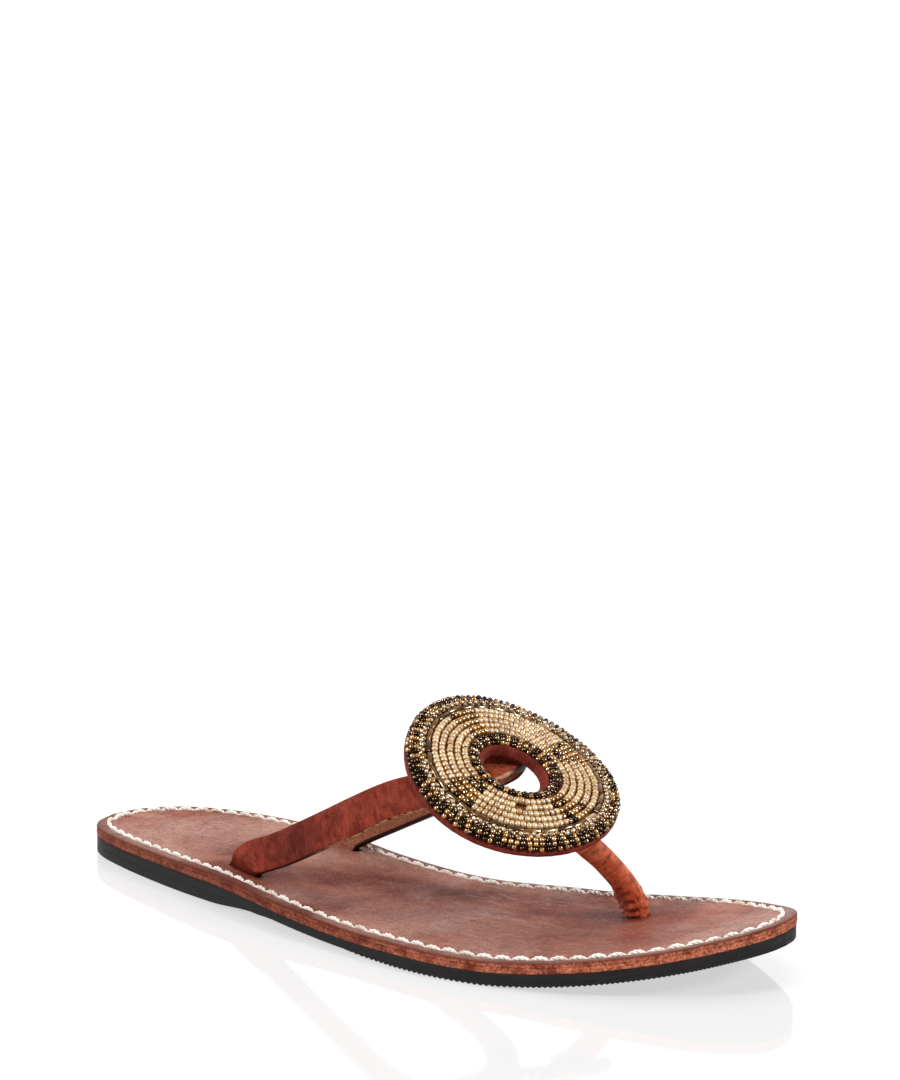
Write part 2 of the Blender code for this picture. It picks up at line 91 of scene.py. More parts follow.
STRAP_THICKNESS = 2.2
STRAP_REAR = [(-55.3, -21.3, 10.9), (-50.7, -21.9, 17.8), (-35.0, -22.7, 25.4),
              (-15.8, -23.9, 35.9), (-3.7, -24.9, 42.7), (7.9, -24.4, 48.9),
              (14.9, -21.6, 51.8), (20.3, -8.0, 51.7), (22.8, 5.5, 51.8), (22.0, 14.5, 52.7),
              (18.0, 21.5, 51.0), (12.2, 25.6, 47.0), (-4.5, 27.0, 39.5), (-24.0, 26.4, 29.0),
              (-41.5, 26.0, 18.0), (-47.6, 25.4, 10.8)]
STRAP_FRONT = [(-40.6, -25.7, 10.7), (-38.0, -26.0, 12.3), (-27.5, -27.0, 17.2),
               (-10.6, -28.4, 26.3), (2.3, -28.9, 33.1), (13.0, -28.2, 39.5),
               (25.2, -25.2, 44.8), (30.6, -12.0, 48.0), (33.4, 2.5, 50.2), (34.2, 13.5, 51.5),
               (31.6, 20.5, 49.3), (26.2, 23.6, 43.6), (2.0, 23.3, 30.2), (-18.4, 22.1, 19.3),
               (-31.0, 20.9, 12.4), (-33.9, 19.9, 10.4)]

POST_BASE = (74.5, 19.6)

MEDALLION_CENTRE = (38.9, 3.1, 53.9)
MEDALLION_ROLL = 12.4
MEDALLION_PITCH = 27.1
MEDALLION_YAW = 1.3
HALF_LENGTH = 34.5
HALF_WIDTH = 32.6
DRAPE_RADIUS = 150.0

# ---- sizes of the visible detail

OUTLINE_STEPS = 34           # points of the sole's outline between two stations
PAD_OVERLAP = 0.02           # how far the two rubber pads reach into the outsole
PARED_LENGTH = 8.0           # stretch over which the pads are pared to their thin ends
PARED_EDGE = 0.15
TREAD_RIBS = 0.55            # depth of the grooves across the forefoot tread
TREAD_STEPS = 30             # points of the tread between two stations, every other one a groove
SLOT_OUTLINE = ((-0.5, -0.25), (-0.9, 1.1), (-0.5, 2.45), (8.0, 2.55), (15.9, 2.45),
                (16.5, 1.1), (15.9, -0.25), (8.0, -0.35))    # along and across the strap's root
POST_HOLE = 3.75
STITCH_INSET = 4.1
STITCH_COUNT = 100
STITCH_POINTS = 18           # stretches in the length of one stitch
STITCH_DIVE = 1.1            # how deep a stitch's ends go below the footbed
STITCH_TURNS = 1.3           # turns of the three plies in one stitch
PLY_RADIUS = 0.47
PLY_SPREAD = 0.38            # distance of a ply's middle from the stitch's middle
PLY_SIDES = 8

CREAM_ROWS = 5
CREAM_FIRST = 8.1            # inset of the outermost cream row
CREAM_PITCH = 2.4
CREAM_HEIGHT = 0.1
CREAM_SIZE = (1.08, 1.75)    # radius and length of a seed bead
EDGE_SIZE = (0.85, 1.45)
ROPE_SIZE = (0.62, 1.15)
BUGLE_INSET = 6.1
BUGLE_RADIUS = 0.82
BEAD_HOLE = 0.34             # share of a round bead's radius
GLINT_DIRECTIONS = ((0.087, -0.899, 0.428), (0.810, -0.385, 0.443))    # painted highlights, half-way between the view and each of the two lamps
FAN_CENTRES = (167.0, 72.0, -7.0, -100.0)    # degrees round the ring of the four dark fans
FAN_HALF_WIDTH = 11.0
FAN_TAPER = 0.3              # degrees that a fan loses on each side from one row to the next
MISSING_BEAD = (3, 5.36)     # row and angle of the one cream bead that is gone
OUTER_WHIPPING = ((2.45, 0.2), (0.95, -0.05), (0.2, -1.25))    # inset and height of three beads
OPENING_WHIPPING = ((20.0, 0.3), (21.25, 0.05), (21.95, -0.85))


# ---- shape helpers

def smoothstep(t):
    t = np.clip(t, 0.0, 1.0)
    return t * t * (3.0 - 2.0 * t)


def ramp(x, start, end):
    """Smooth rise from 0 at the start to 1 at the end."""
    return smoothstep((x - start) / (end - start))


def unit(vector):
    return vector / np.linalg.norm(vector)


def unit_rows(vectors):
    return vectors / np.linalg.norm(vectors, axis=1)[:, None]


def distances(path):
    """Distance along a path from its start to each of its points."""
    return np.concatenate([[0.0], np.cumsum(np.linalg.norm(np.diff(path, axis=0), axis=1))])


def smooth_path(points, steps):
    """Centripetal Catmull-Rom curve through the points, with steps stretches between each two."""
    pts = [np.array(p, float) for p in points]
    pts = [2 * pts[0] - pts[1]] + pts + [2 * pts[-1] - pts[-2]]
    path = []
    for a, b, c, d in zip(pts, pts[1:], pts[2:], pts[3:]):
        ta = 0.0
        tb = ta + np.linalg.norm(b - a) ** 0.5
        tc = tb + np.linalg.norm(c - b) ** 0.5
        td = tc + np.linalg.norm(d - c) ** 0.5
        for k in range(steps):
            t = tb + (tc - tb) * k / steps
            ab = a + (b - a) * (t - ta) / (tb - ta)
            bc = b + (c - b) * (t - tb) / (tc - tb)
            cd = c + (d - c) * (t - tc) / (td - tc)
            abc = ab + (bc - ab) * (t - ta) / (tc - ta)
            bcd = bc + (cd - bc) * (t - tb) / (td - tb)
            path.append(abc + (bcd - abc) * (t - tb) / (tc - tb))
    path.append(pts[-2])
    return np.array(path)


def wobble(point, size, seed=0.0):
    """Smooth noise from -1 to 1, with features of about that size in mm."""
    return noise.noise(Vector(point) / size + Vector((seed, 2.7 * seed, -1.3 * seed)))


def new_object(name, data, *materials):
    for each in materials:
        data.materials.append(each)
    obj = bpy.data.objects.new(name, data)
    bpy.context.scene.collection.objects.link(obj)
    return obj


def mesh_object(name, verts, faces, materials, slots=None, attributes=None):
    """A smooth object from vertices in mm, with its materials' keys and each face's slot."""
    mesh = bpy.data.meshes.new(name)
    mesh.from_pydata([Vector(v) * MM for v in verts], [], faces)
    for label, values in (attributes or {}).items():
        layer = mesh.attributes.new(label, "FLOAT", "POINT")
        layer.data.foreach_set("value", np.asarray(values, np.float32))
    mesh.update()
    obj = new_object(name, mesh, *[MATERIALS[each] for each in materials])
    if slots is not None:
        mesh.polygons.foreach_set("material_index", np.asarray(slots, np.int32))
    mesh.polygons.foreach_set("use_smooth", np.ones(len(mesh.polygons), bool))
    bm = bmesh.new()
    bm.from_mesh(mesh)
    bmesh.ops.recalc_face_normals(bm, faces=bm.faces)
    bm.to_mesh(mesh)
    bm.free()
    return obj


def loft(sections, closed_path=False):
    """Vertices and quads that join closed cross-sections, with end caps unless the path closes."""
    count = len(sections[0])
    verts = [p for section in sections for p in section]
    faces = []
    spans = len(sections) if closed_path else len(sections) - 1
    for i in range(spans):
        j = (i + 1) % len(sections)
        for k in range(count):
            m = (k + 1) % count
            faces.append((i * count + k, i * count + m, j * count + m, j * count + k))
    if not closed_path:
        faces.append(tuple(range(count))[::-1])
        faces.append(tuple(range((len(sections) - 1) * count, len(sections) * count)))
    return verts, faces


def path_frames(path):
    """Side and up directions along a path."""
    tangent = unit_rows(np.gradient(path, axis=0))
    side = unit_rows(np.cross((0.0, 0.0, 1.0), tangent))
    return side, np.cross(tangent, side)


# ---- materials

class Shader:
    """A node material under construction, with the Principled shader at hand."""

    def __init__(self, name, roughness=0.5, **settings):
        self.material = bpy.data.materials.new(name)
        self.material.use_nodes = True
        self.tree = self.material.node_tree
        self.tree.nodes.clear()
        out = self.tree.nodes.new("ShaderNodeOutputMaterial")
        self.bsdf = self.tree.nodes.new("ShaderNodeBsdfPrincipled")
        self.tree.links.new(self.bsdf.outputs[0], out.inputs[0])
        self.bsdf.inputs["Roughness"].default_value = roughness
        for socket, value in settings.items():
            label = socket.replace("_", " ").title().replace("Ior", "IOR")
            self.bsdf.inputs[label].default_value = value
        self.coordinates = self.tree.nodes.new("ShaderNodeTexCoord").outputs["Object"]

    def put(self, node, socket, value):
        """Link a socket to an output, or give it a plain value."""
        if isinstance(value, bpy.types.NodeSocket):
            self.tree.links.new(value, node.inputs[socket])
        elif value is not None:
            node.inputs[socket].default_value = value

    def node(self, kind, sockets, **properties):
        made = self.tree.nodes.new("ShaderNode" + kind)
        for key, value in properties.items():
            setattr(made, key, value)
        for socket, value in sockets.items():
            self.put(made, socket, value)
        return made

    def attribute(self, name):
        return self.node("Attribute", {}, attribute_name=name).outputs["Fac"]

    def stretched(self, sizes):
        """Object coordinates divided by a size in mm for each axis."""
        scale = [1.0 / (s * MM) for s in sizes]
        return self.node("Mapping", {"Vector": self.coordinates, "Scale": scale}).outputs[0]

    def grid(self, along, across, sizes):
        """Coordinates from two attributes in mm, divided by a size for each."""
        joined = self.node("CombineXYZ", {"X": self.attribute(along), "Y": self.attribute(across)})
        scale = (1.0 / sizes[0], 1.0 / sizes[1], 1.0)
        return self.node("Mapping", {"Vector": joined.outputs[0], "Scale": scale}).outputs[0]

    def noise(self, size, detail=3.0, roughness=0.55, distortion=0.0, vector=None):
        sockets = {"Scale": 1.0 if vector else 1.0 / (size * MM), "Detail": detail,
                   "Roughness": roughness, "Distortion": distortion,
                   "Vector": vector or self.coordinates}
        return self.node("TexNoise", sockets).outputs["Fac"]

    def cells(self, size, feature="DISTANCE_TO_EDGE", vector=None):
        sockets = {"Scale": 1.0 if vector else 1.0 / (size * MM),
                   "Vector": vector or self.coordinates}
        return self.node("TexVoronoi", sockets, feature=feature).outputs["Distance"]

    def remap(self, value, low, high, to_low=0.0, to_high=1.0):
        sockets = {"Value": value, "From Min": low, "From Max": high,
                   "To Min": to_low, "To Max": to_high}
        return self.node("MapRange", sockets).outputs[0]

    def math(self, operation, a, b=None):
        return self.node("Math", {0: a, 1: b}, operation=operation).outputs[0]

    def times(self, a, b):
        return self.math("MULTIPLY", a, b)

    def mix(self, factor, a, b):
        """Mix of two colours; plain triples become colours."""
        a, b = [(*c, 1.0) if isinstance(c, tuple) else c for c in (a, b)]
        return self.node("Mix", {0: factor, 6: a, 7: b}, data_type="RGBA").outputs[2]

    def near(self, point, inner, outer):
        """1 near a point in mm, falling to 0 at the outer radius."""
        offset = self.node("VectorMath", {0: self.coordinates, 1: Vector(point) * MM},
                           operation="DISTANCE")
        return self.remap(offset.outputs["Value"], inner * MM, outer * MM, 1.0, 0.0)

    def roughness(self, value):
        self.put(self.bsdf, "Roughness", value)

    def finish(self, colour, *bumps):
        """Set the colour and the bumps, each a height output and its height in mm."""
        self.put(self.bsdf, "Base Color", colour)
        normal = None
        for height, size in bumps:
            sockets = {"Height": height, "Distance": size * MM, "Strength": 1.0, "Normal": normal}
            normal = self.node("Bump", sockets).outputs[0]
        self.put(self.bsdf, "Normal", normal)
        return self.material


def footbed_leather():
    """Worn brown grain leather: mottled, with pale scuffs and red stains from the straps' dye; a
    pale haze is partly its own tone and partly painted sheen, the patch by the outer slot is
    painted shade and reflection of the strap, and the stitch groove and its holes get painted
    shade.
    """
    s = Shader("footbed_leather", 0.42, specular_ior_level=0.13)
    cloud = s.noise(16.0, 6.0, 0.65, 0.5)
    base = s.mix(s.remap(cloud, 0.40, 0.60), (0.150, 0.034, 0.020), (0.310, 0.098, 0.062))
    # A pale haze: partly the leather's own tone, partly painted sheen. It is weaker towards the
    # ball, and the same mask makes the leather glossier.
    pale_tone_and_sheen = s.remap(s.noise(38.0, 4.0, 0.6, 0.3), 0.40, 0.60)
    pale_tone_and_sheen = s.times(pale_tone_and_sheen, s.remap(s.noise(2.2, 5.0, 0.75), 0.35, 0.65, 0.35, 1.0))
    tone_and_sheen_fade = s.remap(s.near((66.0, 2.0, 9.0), 12.0, 44.0), 0.0, 1.0, 1.0, 0.3)
    pale_tone_and_sheen = s.times(pale_tone_and_sheen, tone_and_sheen_fade)
    base = s.mix(s.times(pale_tone_and_sheen, 0.8), base, (0.430, 0.215, 0.160))
    # Darker red patches: stains of the straps' dye, except the one by the outer slot, which is
    # painted shade and reflection of the strap standing there.
    stain_and_shade_noise = s.remap(s.noise(14.0, 3.0), 0.38, 0.62, 0.35, 1.0)
    for place, inner, outer, amount in (((72.0, 0.0, 9.0), 8.0, 40.0, 0.9),
                                        ((-42.0, -30.0, 10.0), 5.0, 24.0, 0.95),
                                        ((-36.0, 22.0, 10.0), 2.0, 16.0, 0.75),
                                        ((-10.0, -14.0, 10.0), 6.0, 34.0, 0.45)):
        mask = s.times(s.near(place, inner, outer), stain_and_shade_noise)
        base = s.mix(s.times(mask, amount), base, (0.215, 0.036, 0.018))
    scuff = s.remap(s.noise(1.0, 6.0, 0.7, 1.4, s.stretched((14.0, 4.0, 30.0))), 0.52, 0.66)
    scuff = s.times(scuff, s.near((36.0, 2.0, 8.0), 12.0, 50.0))
    base = s.mix(s.times(scuff, 0.5), base, (0.52, 0.36, 0.31))
    grain = s.noise(0.75, 4.0, 0.7)
    base = s.mix(s.remap(grain, 0.50, 0.34, 0.0, 0.55), base, (0.060, 0.018, 0.012))
    base = s.mix(s.remap(grain, 0.54, 0.68, 0.0, 0.35), base, (0.46, 0.28, 0.23))
    pores = s.remap(s.cells(1.3, "F1"), 0.08, 0.26)
    speck = s.remap(s.noise(6.0, 3.0), 0.5, 0.6)
    speck = s.times(s.math("SUBTRACT", 1.0, pores), speck)
    base = s.mix(speck, base, (0.06, 0.018, 0.012))
    # Painted shade in the stitch groove and its holes, and a darker rim towards the edge.
    base = s.mix(s.remap(s.attribute("shade"), 0.1, 0.9, 0.0, 0.92), base, (0.05, 0.012, 0.008))
    s.roughness(s.remap(pale_tone_and_sheen, 0.0, 0.8, 0.60, 0.34))
    creases = s.cells(1.0, vector=s.stretched((5.5, 2.2, 30.0)))
    return s.finish(base, (s.noise(9.0, 4.0), 0.4), (s.remap(creases, 0.0, 0.12), 0.06),
                    (grain, 0.12), (pores, 0.08))


def raw_edge():
    """Cut leather edge: fibrous, orange-red, burnt dark at the top."""
    s = Shader("raw_leather_edge", 0.55, specular_ior_level=0.12)
    fibres = s.noise(0.9, 6.0, 0.85, 1.0)
    cloud = s.noise(4.5, 4.0, 0.7)
    base = s.mix(s.remap(fibres, 0.42, 0.58), (0.170, 0.024, 0.010), (0.95, 0.31, 0.165))
    base = s.mix(s.remap(cloud, 0.48, 0.62, 0.0, 0.8), base, (0.17, 0.025, 0.012))
    burnt = s.remap(s.attribute("depth"), 0.35, 1.15, 0.9, 0.0)
    base = s.mix(burnt, base, (0.14, 0.024, 0.014))
    heel = s.near((-110.0, -20.0, 8.0), 90.0, 190.0)
    base = s.mix(s.times(heel, 0.65), base, (0.12, 0.018, 0.009))
    return s.finish(base, (fibres, 0.45), (s.noise(0.3, 2.0), 0.12))


def strap_leather(name="strap_leather", tint=(0.172, 0.022, 0.012), light=(0.340, 0.054, 0.031),
                  wrinkle_shading=0.65, gloss=0.05):
    """Aniline-dyed strap leather with fine pull-up grain; its wrinkles get painted shade in the
    creases and painted highlight on the crests.
    """
    s = Shader(name, 0.38, specular_ior_level=gloss)
    cloud = s.noise(8.0, 5.0, 0.65)
    dark = tuple(c * 0.25 for c in tint)
    base = s.mix(s.remap(cloud, 0.40, 0.60), tint, light)
    wrinkle = s.noise(1.0, 5.0, 0.7, 0.6, s.grid("along", "across", (1.5, 4.0)))
    # Painted shade in the wrinkles' creases and painted highlight on their crests.
    base = s.mix(s.remap(wrinkle, 0.50, 0.36, 0.0, wrinkle_shading), base, dark)
    base = s.mix(s.remap(wrinkle, 0.57, 0.68, 0.0, 0.5 * wrinkle_shading), base, light)
    grain = s.noise(0.6, 4.0, 0.7)
    base = s.mix(s.remap(grain, 0.48, 0.34, 0.0, 0.5), base, dark)
    base = s.mix(s.remap(grain, 0.56, 0.68, 0.0, 0.4), base, light)
    # Painted shade at the roots and in the folds, and a darker band on the strap's outer leg, from
    # an attribute.
    base = s.mix(s.attribute("handled"), base, dark)
    s.roughness(s.remap(cloud, 0.4, 0.6, 0.30, 0.46))
    return s.finish(base, (wrinkle, 0.32), (grain, 0.12), (s.cells(0.6), 0.04))


def strap_flesh():
    """The unfinished back of the strap: fuzzy orange-brown suede."""
    s = Shader("strap_flesh_side", 0.9, specular_ior_level=0.2, sheen_weight=0.15)
    nap = s.noise(0.5, 4.0, 0.7)
    base = s.mix(s.remap(nap, 0.40, 0.60), (0.10, 0.024, 0.011), (0.42, 0.135, 0.066))
    base = s.mix(s.remap(s.noise(5.0, 3.0), 0.4, 0.7, 0.0, 0.6), base, (0.20, 0.052, 0.026))
    return s.finish(base, (nap, 0.22))


def strap_edge():
    """The strap's cut edge, inked black, with the pale core showing where the ink has worn."""
    s = Shader("strap_cut_edge", 0.6, specular_ior_level=0.25)
    worn = s.remap(s.attribute("worn"), 0.25, 0.75)
    patch = s.remap(s.noise(2.5, 4.0, 0.7), 0.38, 0.55)
    base = s.mix(s.times(worn, patch), (0.026, 0.007, 0.004), (0.68, 0.34, 0.17))
    return s.finish(base, (s.noise(0.4, 3.0), 0.08))


def rubber():
    s = Shader("black_rubber", 0.62, specular_ior_level=0.22)
    cloud = s.noise(7.0, 4.0, 0.6)
    base = s.mix(s.remap(cloud, 0.3, 0.75), (0.0075, 0.0065, 0.0065), (0.019, 0.0165, 0.0155))
    s.roughness(s.remap(cloud, 0.3, 0.7, 0.5, 0.72))
    return s.finish(base, (s.noise(0.6, 4.0, 0.7), 0.10), (s.noise(3.0, 2.0), 0.10))


def waxed_thread():
    s = Shader("waxed_thread", 0.5, sheen_weight=0.15)
    fibre = s.noise(0.22, 3.0, 0.6)
    soil = s.noise(7.0, 3.0)
    base = s.mix(s.remap(soil, 0.46, 0.66), (0.97, 0.94, 0.88), (0.74, 0.62, 0.50))
    base = s.mix(s.remap(fibre, 0.42, 0.54, 0.35, 0.0), base, (0.42, 0.31, 0.22))
    return s.finish(base, (fibre, 0.06))


def canvas():
    s = Shader("bead_base_canvas", 0.9)
    wave = s.node("TexWave", {"Vector": s.coordinates, "Scale": 420.0, "Distortion": 0.5})
    weave = wave.outputs[1]
    base = s.mix(weave, (0.13, 0.042, 0.010), (0.40, 0.17, 0.05))
    return s.finish(base, (weave, 0.1))


def bead_glass(name, dark, light, glint_colour, spread, roughness, specular_ior_level=0.5, metallic=0.0,
               coat_weight=0.0):
    """Silver-lined glass beads: the colour changes from bead to bead, and two pale spots on each
    one's upper outer side are painted highlights of the two lamps."""
    s = Shader(name, roughness, specular_ior_level=specular_ior_level, metallic=metallic,
               coat_weight=coat_weight, coat_roughness=0.08, coat_ior=1.5,
               specular_tint=(1.0, 0.82, 0.66, 1.0))
    base = s.mix(s.attribute("tint"), dark, light)
    # Painted highlights: pale spots where the surface faces one of the two fixed directions.
    normal = s.node("TexCoord", {}).outputs["Normal"]
    left, right = [s.node("VectorMath", {0: normal, 1: spot}, operation="DOT_PRODUCT")
                   for spot in GLINT_DIRECTIONS]
    spots = s.math("MAXIMUM", left.outputs["Value"], right.outputs["Value"])
    spots = s.math("ADD", spots, s.remap(s.attribute("tint"), 0.0, 1.0, -0.012, 0.012))
    base = s.mix(s.remap(spots, 1.0 - spread, 1.0 - 0.3 * spread), base, glint_colour)
    return s.finish(base, (s.noise(0.35, 2.0), 0.012))


def floor_material():
    """A white glossy table top that glows a little, as one lit from below."""
    s = Shader("pale_floor", 0.06, specular_ior_level=0.5, emission_strength=0.60)
    s.bsdf.inputs["Emission Color"].default_value = (1.0, 1.0, 1.0, 1.0)
    return s.finish(s.mix(s.noise(300.0, 2.0), (0.24, 0.24, 0.24), (0.26, 0.26, 0.26)))


# ---- sole

def footbed_height(x):
    x = np.asarray(x, float)
    heel = ramp(x, HEEL_BLEND[1], HEEL_BLEND[0])
    rear = BALL_HEIGHT + WAIST_SLOPE * (x - BALL_REAR) + HEEL_RAISE * heel
    spring = np.maximum(x - SPRING_START, 0.0) / (HALF_SOLE - SPRING_START)
    return np.where(x < BALL_REAR, rear, BALL_HEIGHT + TOE_SPRING * spring ** SPRING_POWER)


def footbed_bottom(x):
    return footbed_height(x) - FOOTBED_THICKNESS


def midsole_bottom(x):
    return footbed_height(x) - LEATHER_THICKNESS


def outsole_bottom(x):
    return midsole_bottom(x) - LAYER_GAP - OUTSOLE_THICKNESS


def lower_layer_top(x):
    return outsole_bottom(x) + PAD_OVERLAP


def pared(x, bottom, share):
    """The bottom of a pad whose end is pared down to almost nothing."""
    return bottom + share * (outsole_bottom(x) - PARED_EDGE - bottom)


def heel_lift_bottom(x):
    top = outsole_bottom(x) - LAYER_GAP
    rise = np.maximum(x - HEEL_FLAT_END, 0.0) / (LIFT_BLEND[0] - HEEL_FLAT_END)
    share = ramp(x, LIFT_BLEND[1], LIFT_BLEND[0])
    bottom = top - np.maximum((top - HEEL_ROCKER * rise ** 2) * share, SKIVED_EDGE)
    return pared(x, bottom, smoothstep((x - LIFT_END) / PARED_LENGTH + 1.0))


def tread_bottom(x):
    top = outsole_bottom(x) - LAYER_GAP
    share = ramp(x, *TREAD_BLEND)
    bottom = np.maximum(top - np.maximum(TREAD_THICKNESS * share, SKIVED_EDGE), 0.0)
    return pared(x, bottom, smoothstep((TREAD_START - x) / PARED_LENGTH + 1.0))


def sole_edges(steps):
    """Outer and inner edge of the sole, from the heel's back to the toe."""
    return [smooth_path([HEEL_BACK] + edge + [TOE_TIP], steps)
            for edge in (OUTER_EDGE, INNER_EDGE)]


def sole_loop(inset):
    """The outline from the heel's back round the outer side to the toe and back, inset in mm."""
    outer, inner = sole_edges(OUTLINE_STEPS)
    loop = np.vstack([outer, inner[-2:0:-1]])
    tangent = unit_rows(np.roll(loop, -1, axis=0) - np.roll(loop, 1, axis=0))
    normal = np.column_stack([-tangent[:, 1], tangent[:, 0]])
    return loop + normal * np.reshape(inset, (-1, 1))


def stitch_phase(loop):
    """Distance in mm from each point of a loop to the nearest stitch hole."""
    along = distances(np.vstack([loop, loop[:1]]))
    pitch = along[-1] / STITCH_COUNT
    phase = (along[:-1] / pitch) % 1.0
    return np.minimum(phase, 1.0 - phase) * pitch


def layer(name, profile, heights, columns, materials, dent=None, roughen=0.0):
    """A sole layer. profile lists (inset, height index, rise, material) from the middle of the
    upper face over the edge to the middle of the lower face; the two middles are filled."""
    loops = []
    for inset, index, rise, _ in profile:
        loop = sole_loop(inset)
        if roughen and inset < 0.5:
            rough = [roughen * wobble((x, y, 9.0 * rise), 1.1, 3.0) for x, y in loop]
            loop = sole_loop(inset + np.array(rough))
        z = heights[index](loop[:, 0]) + rise
        if dent is not None and index == 0:
            z = z + dent(loop, inset)
        loops.append(np.column_stack([loop, z]))
    count = len(loops[0])
    half = count // 2
    verts, faces = loft(loops)
    faces = faces[:-2]
    slots = [entry[3] for entry in profile[:-1] for _ in range(count)]
    for which in (0, len(loops) - 1):
        _, index, rise, material = profile[which]
        base = which * count
        rows = [[base]]
        for i in range(1, half):
            a, b = loops[which][i], loops[which][count - i]
            row = [base + i]
            for k in range(1, columns):
                point = a + (b - a) * k / columns
                point[2] = heights[index](point[0]) + rise
                if dent is not None and index == 0:
                    point[2] += dent(point[None, :2], None)[0]
                row.append(len(verts))
                verts.append(point)
            row.append(base + count - i)
            rows.append(row)
        rows.append([base + half])
        for low, high in zip(rows, rows[1:]):
            for k in range(max(len(low), len(high)) - 1):
                if len(low) == 1:
                    faces.append((low[0], high[k], high[k + 1]))
                elif len(high) == 1:
                    faces.append((low[k], low[k + 1], high[0]))
                else:
                    faces.append((low[k], low[k + 1], high[k + 1], high[k]))
                slots.append(material)
    points = np.array(verts)
    depth = footbed_height(points[:, 0]) - points[:, 2]
    shade = np.zeros(len(verts))
    if dent is not None:
        for i, (inset, index, _, _) in enumerate(profile):
            if index == 0:
                shade[i * count:(i + 1) * count] = stitch_shade(inset, loops[i])
    return mesh_object(name, verts, faces, materials, slots,
                       attributes={"depth": depth, "shade": shade})


def stitch_shade(inset, points):
    """Painted shade from 0 to 1 in the stitch groove and the holes in it, and a darker rim towards
    the edge.
    """
    groove = max(0.0, 1.0 - abs(inset - STITCH_INSET) / 1.15)
    hole = np.exp(-(stitch_phase(points[:, :2]) / 0.9) ** 2)
    rim = 0.62 * max(0.0, 1.0 - inset / 4.0) ** 0.5
    return np.clip(groove * (0.75 + hole) + rim, 0.0, 1.0)


def footbed_dent(points, inset):
    """Hollows of the footbed: foot wear, and the groove and holes of the stitching."""
    dz = np.array([0.16 * wobble((x, y, 0.0), 17.0, 1.0) + 0.07 * wobble((x, y, 0.0), 5.0, 2.0)
                   for x, y in points])
    dz = dz * (0.35 if inset is not None else 1.0)
    for x0, y0, radius, depth in ((58.0, -6.0, 26.0, 0.5), (-96.0, 5.0, 24.0, 0.45)):
        away = np.hypot(points[:, 0] - x0, points[:, 1] - y0) / radius
        dz = dz - depth * np.exp(-away ** 2)
    if inset is not None and 3.0 < inset < 5.4:
        hole = np.exp(-(stitch_phase(points) / 0.75) ** 2)
        closeness = max(0.0, 1.0 - abs(inset - STITCH_INSET))
        dz = dz - closeness * (0.35 + hole)
    return dz


def cut_footbed(footbed):
    """Slots for the strap and the hole for the toe post."""
    outlines = []
    for rear, front, towards in ((STRAP_REAR[0], STRAP_FRONT[0], 1.0),
                                 (STRAP_REAR[-1], STRAP_FRONT[-1], -1.0)):
        rear, front = np.array(rear[:2]), np.array(front[:2])
        along = unit(front - rear)
        across = np.array([-along[1], along[0]]) * towards
        outlines.append([rear + along * a + across * c for a, c in SLOT_OUTLINE])
    turns = [2 * pi * k / 28 for k in range(28)]
    outlines.append([(POST_BASE[0] + POST_HOLE * cos(turn), POST_BASE[1] + POST_HOLE * sin(turn))
                     for turn in turns])
    cutters = []
    for outline in outlines:
        # from below the leather to above it
        sections = [[(x, y, z) for x, y in outline] for z in (2.0, 20.0)]
        cutters.append(mesh_object("footbed_cutter", *loft(sections), []))
        modifier = footbed.modifiers.new("cut", "BOOLEAN")
        modifier.object = cutters[-1]
        modifier.solver = "EXACT"
    graph = bpy.context.evaluated_depsgraph_get()
    cut = bpy.data.meshes.new_from_object(footbed.evaluated_get(graph))
    footbed.modifiers.clear()
    footbed.data = cut
    for cutter in cutters:
        bpy.data.objects.remove(cutter, do_unlink=True)


def make_footbed():
    edge = [(0.9, 0, 0.0, 0), (0.45, 0, -0.05, 0), (0.15, 0, -0.25, 1), (0.0, 0, -0.6, 1),
            (-0.05, 0, -1.0, 1), (0.0, 0, -1.45, 1), (0.2, 0, -1.68, 1), (9.0, 1, 0.0, 1)]
    groove = [(i, 0, 0.0, 0) for i in (7.5, 6.2, 5.3, 4.9, 4.5, 4.1, 3.7, 3.3, 2.9, 2.2, 1.5)]
    footbed = layer("footbed_leather", groove + edge, (footbed_height, footbed_bottom), 44,
                    ("footbed", "raw_edge"), footbed_dent, 0.12)
    cut_footbed(footbed)
    return footbed


def make_midsole():
    profile = [(6.0, 0, 0.0, 0), (0.25, 0, 0.0, 0), (0.0, 0, -0.25, 0), (-0.06, 0, -0.8, 0),
               (-0.03, 0, -1.3, 0), (0.05, 0, -1.75, 0), (0.3, 1, 0.0, 0), (6.0, 1, 0.0, 0)]
    return layer("midsole_leather", profile, (footbed_bottom, midsole_bottom), 3,
                 ("raw_edge",), roughen=0.22)


def make_outsole():
    profile = [(6.0, 0, 0.0, 0), (0.3, 0, 0.0, 0), (0.12, 0, -0.2, 0), (0.1, 0, -1.3, 0),
               (0.1, 1, 0.1, 0), (0.16, 1, 0.0, 0), (6.0, 1, 0.0, 0)]
    return layer("outsole_rubber", profile, (midsole_bottom, outsole_bottom), 3,
                 ("rubber",), roughen=0.06)


